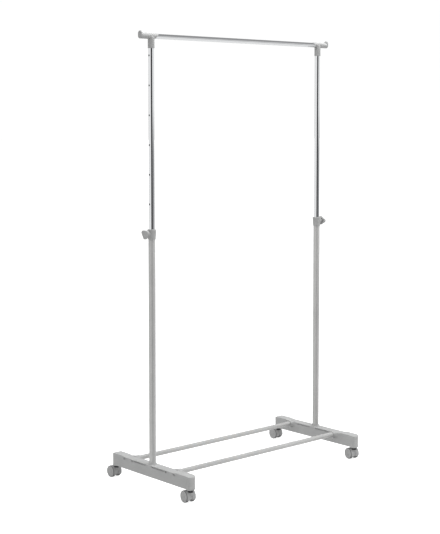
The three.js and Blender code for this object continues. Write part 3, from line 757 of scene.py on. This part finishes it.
def caster_pad(y, half_length, half_width, corner, high):
    """Round pad over a caster, cut off by the beam's outline: in each direction its radius is the
    smaller of the pad's own and the distance to the outline."""
    angle = round_angles(96)
    way = np.column_stack([np.cos(angle), np.sin(angle)])
    steps = np.linspace(0, PAD_RADIUS, 241)
    sample = np.abs(way[:, None, :] * steps[:, None] + [0, y])
    beyond = np.maximum(sample - [half_width - corner, half_length - corner], 0)
    inside = np.hypot(beyond[..., 0], beyond[..., 1]) <= corner - 0.1 * MM
    radius = steps[inside.sum(1) - 1][:, None]
    low, rim, soft = PAD_BOTTOM, 1.2 * MM, 0.35 * MM
    rows = [(0, low), (0.45 * radius, low), (radius - rim, low), (radius - soft, low + soft),
            (radius, low + rim), (radius, high), (0.5 * radius, high), (0, high)]
    grid = [np.column_stack([reach * way, np.full(len(way), height)]) for reach, height in rows]
    return moved(grid_shell(np.stack(grid)), [0, y, 0])


def beam_shells(shape):
    """All shells of the right beam, about its upright and with +X outwards."""
    half_length, half_width = (BEAM_HIGH[1] - BEAM_LOW[1]) / 2, shape.beam_width / 2
    bottom = PAD_BOTTOM + PAD_DROP
    top = bottom + shape.beam_height
    shells = [beam_skin(shape, bottom, half_length), upright_boss(bottom, top)]
    room, rib_half, socket = half_width - 1.5 * MM, 1.2 * MM, 8.7 * MM
    caster = SWIVEL["back_right"][1] - UPRIGHT_Y
    for sign in (-1, 1):
        for rib in (sign * place for place in RIBS):
            shells.append(block([-room, rib - rib_half, bottom + 1 * MM],
                                [room, rib + rib_half, top - 1.5 * MM]))
        shells.append(caster_pad(sign * caster, half_length, half_width, shape.beam_corner,
                                 bottom + 1.5 * MM))
        post = lathe([(0, bottom), (socket, bottom), (socket, top), (0, top)], (0, 0, 0, 0), 40)
        shells.append(moved(post, [0, sign * caster, 0]))
        shells += cross_boss(sign * CROSS_PLACE)
    return shells


class RACK_OT_base_beams(bpy.types.Operator):
    """Makes the two moulded base beams"""

    bl_idname = "rack.base_beams"
    bl_label = "Base beams"

    def execute(self, context):
        add_pair("base", beam_shells(context.scene.rack_shape), "lower_frame", "base_beam", 0)
        return {"FINISHED"}


# ------------------------------------------------------------------ collars and knobs
def collar_shells():
    """Collar about its upright, +X outwards: a tapered ring, a boss for the screw and a gusset."""
    bore, slide = LOWER_RADIUS + GAP, UPPER_RADIUS + 0.35 * MM
    low, high = (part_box("collar_right")[i][2] - LOCK_HEIGHT for i in (0, 1))
    stop = LOWER_TOP + GAP - LOCK_HEIGHT
    foot, head = bore + 1.1 * MM, bore + 3.8 * MM
    ring = lathe([(bore, low), (foot, low), (head, high), (slide, high), (slide, stop),
                  (bore, stop)], (0, 0.5, 1.6, 0.6, 0, 0), 72, closed=True)
    start, shoulder, nose = (LOWER_RADIUS + reach * MM for reach in (-0.7, 10, 13.5))
    screw, lip, front, back = (radius * MM for radius in (5.5, 6.5, 9, 9.4))
    boss = lathe([(screw, start), (back, start), (front, shoulder), (lip, shoulder), (lip, nose),
                  (screw, nose)], (0, 0, 1.4, 0.4, 0.4, 0), 56, closed=True)
    under, half = -8.2 * MM, 4.2 * MM
    corners = [(start, low), (bore + 0.8 * MM, low), (shoulder - 1.5 * MM, under),
               (start, under + 2 * MM)]
    gusset = capped(np.array([[(x, y, z) for x, z in corners] for y in (-half, half)]))
    return [ring, lying(boss), gusset]


class RACK_OT_collars(bpy.types.Operator):
    """Makes the collars that hold the lock screws"""

    bl_idname = "rack.collars"
    bl_label = "Collars"

    def execute(self, context):
        add_pair("collar", collar_shells(), "lower_frame", "collar", LOCK_HEIGHT,
                 voxel=0.42 * MM, rounds=12)
        return {"FINISHED"}


LOBE_ANGLE = {"left": math.radians(270), "right": math.radians(180)}


def lobed_radius(angle, reach, rounding):
    """Radius of a triangle with round corners: near a lobe it meets the corner's circle, whose
    middle is reach away, r = d cos a + sqrt(c^2 - d^2 sin^2 a), and elsewhere the straight side,
    r = (d / 2 + c) / cos(60 degrees - a)."""
    third = TURN / 3
    off = np.abs((angle + third / 2) % third - third / 2)
    meet = math.atan2(rounding * math.sin(third / 2), reach + rounding / 2)
    corner = reach * np.cos(off) + np.sqrt(np.maximum(rounding ** 2 - (reach * np.sin(off)) ** 2, 0))
    return np.where(off < meet, corner, (reach / 2 + rounding) / np.cos(third / 2 - off))


def knob_shell(shape, thick, first_lobe):
    """Knob along +X from its inner face. Its rings run from the floor of the round cup over the
    two rounded rims of the lobed outline to the dished middle."""
    angle = round_angles(144)
    lobed = lobed_radius(angle - first_lobe, shape.knob_reach, shape.knob_rounding)
    cup, depth, lip, rim, crown = (size * MM for size in (7.2, 4, 0.4, 1.2, 2.4))
    bend = np.linspace(0, math.pi / 2, 8)
    rows = [(depth, 0), (depth, cup), (lip, cup), (0, cup + lip)]
    rows += [(rim * (1 - math.cos(way)), lobed - rim * (1 - math.sin(way))) for way in bend]
    rows += [(thick - crown * (1 - math.sin(way)), lobed - crown * (1 - math.cos(way)))
             for way in bend]
    rows += [(thick - drop * MM, (lobed - crown) * share)
             for share, drop in ((0.8, 0.25), (0.72, 0.8), (0.45, 1.1), (0, 1.2))]
    return rings_about_x(rows, angle)


class RACK_OT_knobs(bpy.types.Operator):
    """Makes the three-lobed lock knobs"""

    bl_idname = "rack.knobs"
    bl_label = "Knobs"

    def execute(self, context):
        shape = context.scene.rack_shape
        for side, sign in SIDES.items():
            node = f"knob_{side}"
            low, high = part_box(node)
            shell = knob_shell(shape, high[0] - low[0], LOBE_ANGLE[side])
            inner = low[0] if sign > 0 else high[0]
            add_piece(f"moulded_{node}", [moved(shell, [inner, UPRIGHT_Y, LOCK_HEIGHT], sign)],
                      finish("moulded_grey"), node, [node], "grey_plastic")
        return {"FINISHED"}


# ------------------------------------------------------------------ tees
def tee_barrel(inboard, outboard, radius):
    """Barrel round the rail. Its inboard end is cut on a slant: round the barrel it starts at
    inboard + slant (1 - sin a) / 2, and from there the wall grows from a thin lip to full."""
    angle = round_angles(72)
    slant, depth, full = 15 * MM, 9 * MM, -4 * MM
    start = inboard + slant * (1 - np.sin(angle)) / 2
    bore, lip = RAIL_RADIUS + 0.2 * MM, RAIL_RADIUS + 0.6 * MM
    rows = [(start + depth, 0), (start + depth, bore), (start, bore)]
    rows += [(start + 0.2 * MM + (full - start) * share,
              lip + (radius - lip) * math.sin(share * math.pi / 2))
             for share in np.linspace(0, 1, 12)]
    rows += [(x, radius) for x in np.linspace(0, outboard, 8)]
    return rings_about_x([*rows, (outboard, 0)], angle)


def tee_sleeve(low):
    """Sleeve of the upright, from its mouth at low up to a rounded shoulder round the barrel."""
    mouth, outer, depth = UPPER_RADIUS + GAP, UPPER_RADIUS + 1.7 * MM, 9 * MM
    neck, crown, high = -4 * MM, 8 * MM, 7 * MM
    return lathe([(0, low + depth), (mouth, low + depth), (mouth, low), (outer, low),
                  (outer, neck), (crown, high), (0, high)], (0, 0, 0.4, 0.6, 5, 2, 0), 72)


def tee_flange(stop, outboard, radius, rise):
    """Flange across X with a rounded rim and a dished outer face. Its outline is two half circles,
    about the rail's axis and about a point above it; each ring (x, inset) is moved in by an inset
    in millimetres."""
    rings = [(stop, 1.4), (stop + 0.5 * MM, 0.5), (stop + 1.4 * MM, 0), (outboard - 1 * MM, 0),
             (outboard - 0.3 * MM, 0.3), (outboard, 1.0), (outboard, 2.0),
             (outboard - 0.4 * MM, 2.7), (outboard - 1.2 * MM, 3.4)]

    def stadium(size):
        return np.concatenate([arc((0, 0), size, 180, 360, 30), arc((0, rise), size, 0, 180, 30)])

    return prism([(x, stadium(radius - inset * MM)) for x, inset in rings])


def tee_shells():
    """Tee about the upright and the rail's axis, +X outwards."""
    low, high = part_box("tee_right")
    inboard, outboard = low[0] - UPRIGHT_X, high[0] - UPRIGHT_X
    barrel, stop = RAIL_RADIUS + 1.4 * MM, outboard - 5 * MM
    return [tee_barrel(inboard, stop + 1 * MM, barrel), tee_sleeve(low[2] - RAIL_HEIGHT),
            tee_flange(stop, outboard, barrel, high[2] - RAIL_HEIGHT - barrel)]


class RACK_OT_tees(bpy.types.Operator):
    """Makes the tees that join the rail to the uprights"""

    bl_idname = "rack.tees"
    bl_label = "Tees"

    def execute(self, context):
        add_pair("tee", tee_shells(), "upper_frame", "tee", RAIL_HEIGHT)
        return {"FINISHED"}


# ------------------------------------------------------------------ casters
WHEEL_RADIUS = 23 * MM
WHEEL_INSET = 8.5 * MM
WHEEL_WIDTH = 12 * MM
WEB_HALF, WEB_RADIUS = 7.5 * MM, 17 * MM
FENDER_FROM, FENDER_TO = 95, 205  # degrees round the axle
FENDER_INNER = WHEEL_RADIUS + 0.8 * MM
FENDER_OUTER = WHEEL_RADIUS + 2.6 * MM
FENDER_GROOVE = FENDER_OUTER - 2.2 * MM
# Reach and height of the seat faces that are painted dark as the shadow under the beam
SEAT_SHADE_REACH, SEAT_SHADE_FROM = 11 * MM, 40 * MM
# From this radius out, the wheel's faces are painted dark as shade
TREAD_SHADE_FROM = 21.9 * MM


def spun(shell, angle):
    """Turns a shell about Z: x' = x cos a - y sin a, y' = x sin a + y cos a."""
    points, faces = shell
    x, y, z = points.T
    return np.column_stack([x * math.cos(angle) - y * math.sin(angle),
                            x * math.sin(angle) + y * math.cos(angle), z]), faces


def hood(section, centre, steps=56):
    """A closed section of (across, radius) carried round the axle: y = radius cos a,
    z = radius sin a, with flat ends."""
    angle = np.radians(np.linspace(FENDER_FROM, FENDER_TO, steps + 1))[:, None]
    across, radius = section.T
    points = np.stack([np.broadcast_to(across, (steps + 1, len(section))),
                       centre[0] + radius * np.cos(angle), centre[1] + radius * np.sin(angle)], -1)
    return capped(points)


def housing_shells(corner):
    """Housing about its swivel: a web between the wheels, a hood over each wheel, parted by a
    groove, a neck and the swivel's seat."""
    axle, swivel = AXLE[corner], SWIVEL[corner]
    centre = (math.hypot(*(axle - swivel)[:2]), axle[2])
    outline = np.concatenate([
        arc(centre, FENDER_GROOVE, FENDER_FROM, FENDER_TO, 40),
        arc(centre, WEB_RADIUS, FENDER_TO, FENDER_FROM + 360, 60)[1:-1]])
    web = prism([(-WEB_HALF, outline), (WEB_HALF, outline)])
    parting, side = 3.6 * MM, WHEEL_INSET + WHEEL_WIDTH - 1.4 * MM
    floor = FENDER_GROOVE - 1 * MM
    section = rounded([(parting, floor), (parting, FENDER_OUTER), (side, FENDER_OUTER),
                       (side, FENDER_INNER), (WEB_HALF, FENDER_INNER), (WEB_HALF, floor)],
                      np.array([0, 0.9, 1.7, 0.3, 0.3, 0]) * MM)
    hoods = [hood(section * [sign, 1], centre) for sign in (-1, 1)]
    neck, low, high = 6.3 * MM, 28 * MM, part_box(f"caster_housing_{corner}")[1][2]
    stem = lathe([(0, low), (neck, low), (neck, high), (0, high)], (0, 0, 0.8, 0), 48)
    wide, narrow, foot, top = (size * MM for size in (9.5, 7, 34, 44.5))
    seat = lathe([(0, foot), (wide, foot), (narrow, top), (0, top)], (0, 0, 2, 0), 48)
    return [web, *hoods, stem, seat]


def wheel_shell():
    """Wheel along +X from its inner face: hub, dished disc, groove, rim and crowned tyre."""
    points = [(0, 0.2), (7, 0), (7.6, 1.3), (17.8, 1.3), (18.8, 0), (21.6, 0), (22.8, 1.4), (23, 6),
              (22.8, 10.6), (21.6, 12), (19.6, 12), (19.2, 11.3), (18.6, 11.3), (18.2, 11.6),
              (8.4, 10.6), (7.9, 11.3), (3, 11.9), (0, 12)]
    radii = [0, 0.4, 0.5, 0.5, 0.4, 0.7, 0.8, 8, 0.8, 0.6, 0.3, 0.15, 0.15, 0.4, 0.5, 0.5, 0.5, 0]
    return lying(lathe(np.array(points) * MM, radii, 80, steps=4))


class RACK_OT_casters(bpy.types.Operator):
    """Makes the caster housings and their wheels"""

    bl_idname = "rack.casters"
    bl_label = "Casters"

    def execute(self, context):
        for corner in CORNERS:
            swivel, axle = SWIVEL[corner], AXLE[corner]
            trail = axle - swivel
            turn = math.atan2(-trail[0], trail[1])
            place = [swivel[0], swivel[1], 0]
            shells = [moved(spun(shell, turn), place) for shell in housing_shells(corner)]
            housing = add_piece(f"moulded_housing_{corner}", shells,
                                finish("caster_grey"), f"caster_{corner}",
                                [f"caster_housing_{corner}"], "caster_plastic", voxel=0.5 * MM,
                                rounds=10)
            # Painted shade: the seat gets a dark finish for the shadow under the beam
            paint_seat_shade(housing, swivel)
            for part in ("outer", "inner"):
                node = f"wheel_{corner}_{part}"
                way = math.copysign(1, centre_of(node)[0] - axle[0])
                shell = moved(wheel_shell(), [way * WHEEL_INSET, 0, 0], way)
                wheel = add_piece(f"moulded_{node}", [moved(spun(shell, turn), axle)],
                                  finish("caster_grey"), node, [node], "caster_plastic")
                # Painted shade on the wheel's tread
                paint_tread_shade(wheel, axle, turn)
        return {"FINISHED"}


def paint_seat_shade(housing, swivel):
    """Paints shade on the faces of the swivel's seat, near the swivel's axis and high up: a dark
    finish that stands in for the shadow in the gap under the beam.
    """
    x, y, z = face_centres(housing).T
    seat = (np.hypot(x - swivel[0], y - swivel[1]) < SEAT_SHADE_REACH) & (z > SEAT_SHADE_FROM)
    paint_faces(housing, seat, finish("dark_plastic"))


def paint_tread_shade(wheel, axle, turn):
    """Paints shade on the faces near the wheel's outer radius: their dark tread finish stands in for
    the shade under the wheels. The radius is what is left of a face's distance from the axle's
    middle after its part along the axle."""
    away = face_centres(wheel) - axle
    along = away @ [math.cos(turn), math.sin(turn), 0]
    reach = np.sqrt((away ** 2).sum(1) - along ** 2)
    paint_faces(wheel, reach > TREAD_SHADE_FROM, finish("tread_painted_shade"))


# ------------------------------------------------------------------ fittings that stay as they are
FITTINGS = {
    "upright_plug": "zinc_plate", "upright_bolt": "zinc_plate", "thread_insert": "turned_brass",
    "lock_screw": "zinc_plate", "tube_glide": "dark_plastic", "cross_plug": "dark_plastic",
    "cross_screw": "zinc_plate", "caster_socket": "zinc_plate", "caster_stem": "zinc_plate",
    "caster_axle": "zinc_plate",
}


class RACK_OT_fittings(bpy.types.Operator):
    """Gives the bolts, screws, plugs, sockets, stems and axles their finishes"""

    bl_idname = "rack.fittings"
    bl_label = "Fittings"

    def execute(self, context):
        for name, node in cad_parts.items():
            for start, recipe in FITTINGS.items():
                if name.startswith(start):
                    node.data.materials.clear()
                    node.data.materials.append(finish(recipe))
        return {"FINISHED"}


# ------------------------------------------------------------------ studio
EYE = (-3.411, -3.7144, 1.4264)
EYE_TURN = 0.7297
EYE_DIP = 0.0679
LENS = 84.43
SHIFT = -0.12
BACKDROP = 1.02
AMBIENT = 0.85
PAPER_GLOW = 0.86
PAPER_SEEN = (0.5, 0.5, 0.5, 1)
PAPER_BOUNCE = (0.55, 0.55, 0.55, 1)
FLOOR_HALF, FLOOR_LOW, FLOOR_HIGH = 60, -0.02, -0.0002
# The screens' turn and half widths are in degrees. The other surroundings are parts of a direction
# of length 1: the ceiling fades in between two heights, the skirting has a middle height and two
# distances from it between which it fades out, and the right hand fades in between two parts.
SCREEN_TURN = 242.0
SCREEN_HALF = 30.0
REAR_HALF = 18.0
BLUR = 0.02
CEILING = (0.2, 0.3)
RIGHT_HAND = (0.0, 0.1)
SKIRTING = (-0.12, 0.09, 0.13)
ROOM_WHITE = (0.92, 0.92, 0.92, 1)
SKIRTING_GREY = (0.36, 0.36, 0.365, 1)
CEILING_GREY = (0.34, 0.34, 0.345, 1)
SCREEN_DARK = (0.045, 0.045, 0.047, 1)
LIT_POINT = (0, 0, 0.7)
SOFT_LIGHTS = (
    ("overhead", (0.3, -0.4, 4.6), 2.0, 150),
    ("right_hand", (4.5, -2.5, 2.6), 3.0, 60),
)


class RACK_OT_studio(bpy.types.Operator):
    """Makes the floor, the lights, the surroundings and the camera"""

    bl_idname = "rack.studio"
    bl_label = "Studio"

    def execute(self, context):
        scene = context.scene
        mesh = bpy.data.meshes.new("floor")
        points, faces = block([-FLOOR_HALF, -FLOOR_HALF, FLOOR_LOW],
                              [FLOOR_HALF, FLOOR_HALF, FLOOR_HIGH])
        mesh.from_pydata(points.tolist(), [], faces)
        floor = bpy.data.objects.new("floor", mesh)
        scene.collection.objects.link(floor)
        mesh.materials.append(self.paper())

        for name, place, width, power in SOFT_LIGHTS:
            lamp = bpy.data.lights.new(name, "AREA")
            lamp.shape, lamp.size, lamp.energy = "SQUARE", width, power
            light = bpy.data.objects.new(name, lamp)
            light.location = place
            light.visible_glossy = False
            aim = Vector(LIT_POINT) - light.location
            light.rotation_euler = aim.to_track_quat("-Z", "Y").to_euler()
            scene.collection.objects.link(light)

        world = bpy.data.worlds.new("studio")
        scene.world = world
        self.surroundings(world)

        camera = bpy.data.cameras.new("camera")
        camera.lens, camera.shift_y = LENS, SHIFT
        camera.clip_end = 200
        eye = bpy.data.objects.new("camera", camera)
        eye.location = EYE
        eye.rotation_euler = (math.pi / 2 - EYE_DIP, 0, -EYE_TURN)
        scene.collection.objects.link(eye)
        scene.camera = eye
        scene.view_settings.view_transform = "Standard"
        return {"FINISHED"}

    def paper(self):
        """White paper that glows enough to stay white in view, gives back only part of the light,
        and lets reflections see the surroundings below the horizon."""
        material = bpy.data.materials.new("floor_paper")
        shader = Nodes(material)
        output = shader.add("ShaderNodeOutputMaterial")
        path = shader.add("ShaderNodeLightPath").outputs
        seen = shader.add("ShaderNodeAddShader")
        glow = shader.add("ShaderNodeEmission", Strength=PAPER_GLOW)
        shader.link(glow.outputs[0], seen.inputs[0])
        shader.link(shader.add("ShaderNodeBsdfDiffuse", Color=PAPER_SEEN).outputs[0],
                    seen.inputs[1])
        bounce = shader.add("ShaderNodeBsdfDiffuse", Color=PAPER_BOUNCE)
        sheet = shader.choose(path["Is Diffuse Ray"], seen.outputs[0], bounce.outputs[0])
        below = shader.add("ShaderNodeBsdfTransparent")
        shader.link(shader.choose(path["Is Glossy Ray"], sheet, below.outputs[0]),
                    output.inputs["Surface"])
        return material

    def surroundings(self, world):
        """A white room. Reflections also see a dark screen in front, a narrower one behind, a grey
        ceiling and a grey skirting on the right hand, which draw the lines on the chrome."""
        shader = Nodes(world)
        output = shader.add("ShaderNodeOutputWorld")
        path = shader.add("ShaderNodeLightPath").outputs
        seen = shader.add("ShaderNodeBackground", Color=(1, 1, 1, 1), Strength=BACKDROP)
        ambient = shader.add("ShaderNodeBackground", Color=(1, 1, 1, 1), Strength=AMBIENT)
        mirrored = shader.add("ShaderNodeBackground", Strength=1.0)
        direction = shader.add("ShaderNodeTexCoord").outputs["Generated"]
        from_screen = shader.add("ShaderNodeVectorRotate", rotation_type="Z_AXIS",
                                 Angle=-math.radians(SCREEN_TURN))
        shader.link(direction, from_screen.inputs["Vector"])
        towards = shader.add("ShaderNodeSeparateXYZ")
        shader.link(from_screen.outputs[0], towards.inputs[0])
        front, behind = (math.cos(math.radians(half)) for half in (SCREEN_HALF, REAR_HALF))
        screen = shader.ramp(towards.outputs["X"], 0.0, 1.0, front - BLUR, front + BLUR)
        rear = shader.ramp(towards.outputs["X"], 0.0, 1.0, BLUR - behind, -BLUR - behind)
        ceiling = shader.ramp(towards.outputs["Z"], 0.0, 1.0, *CEILING)
        right = shader.ramp(towards.outputs["Y"], 0.0, 1.0, *RIGHT_HAND)
        low = shader.math("ABSOLUTE", shader.math("SUBTRACT", towards.outputs["Z"], SKIRTING[0]))
        skirting = shader.math("MULTIPLY", right, shader.ramp(low, 1.0, 0.0, *SKIRTING[1:]))
        shade = shader.mix(skirting, ROOM_WHITE, SKIRTING_GREY)
        shade = shader.mix(ceiling, shade, CEILING_GREY)
        shade = shader.mix(screen, shade, SCREEN_DARK)
        shade = shader.mix(rear, shade, SCREEN_DARK)
        shader.link(shade, mirrored.inputs["Color"])
        lit = shader.choose(path["Is Glossy Ray"], ambient.outputs[0], mirrored.outputs[0])
        shader.link(shader.choose(path["Is Camera Ray"], lit, seen.outputs[0]),
                    output.inputs["Surface"])


# ------------------------------------------------------------------ add-on
class RACK_PT_panel(bpy.types.Panel):
    """Buttons for the rack's pieces and its studio"""

    bl_idname = "RACK_PT_panel"
    bl_label = "Clothes rack"
    bl_space_type = "VIEW_3D"
    bl_region_type = "UI"
    bl_category = "Rack"

    def draw(self, context):
        for group in (context.scene.rack_shape, context.scene.rack_colours):
            for name in group.__annotations__:
                self.layout.prop(group, name)
        for operator in OPERATORS:
            self.layout.operator(operator.bl_idname)


OPERATORS = (
    RACK_OT_studio, RACK_OT_painted_tubes, RACK_OT_chrome_tubes, RACK_OT_base_beams,
    RACK_OT_collars, RACK_OT_knobs, RACK_OT_tees, RACK_OT_casters, RACK_OT_fittings,
)
CLASSES = (RackShape, RackColours, *OPERATORS, RACK_PT_panel)


def register():
    """Registers the classes and the scene's settings."""
    for item in CLASSES:
        bpy.utils.register_class(item)
    bpy.types.Scene.rack_shape = bpy.props.PointerProperty(type=RackShape)
    bpy.types.Scene.rack_colours = bpy.props.PointerProperty(type=RackColours)


def unregister():
    """Removes what register added."""
    del bpy.types.Scene.rack_shape
    del bpy.types.Scene.rack_colours
    for item in reversed(CLASSES):
        bpy.utils.unregister_class(item)


def main():
    """Makes the whole rack and its studio."""
    register()
    bpy.ops.rack.studio()
    bpy.ops.rack.painted_tubes()
    bpy.ops.rack.chrome_tubes()
    bpy.ops.rack.base_beams()
    bpy.ops.rack.collars()
    bpy.ops.rack.knobs()
    bpy.ops.rack.tees()
    bpy.ops.rack.casters()
    bpy.ops.rack.fittings()


if __name__ == "__main__":
    main()
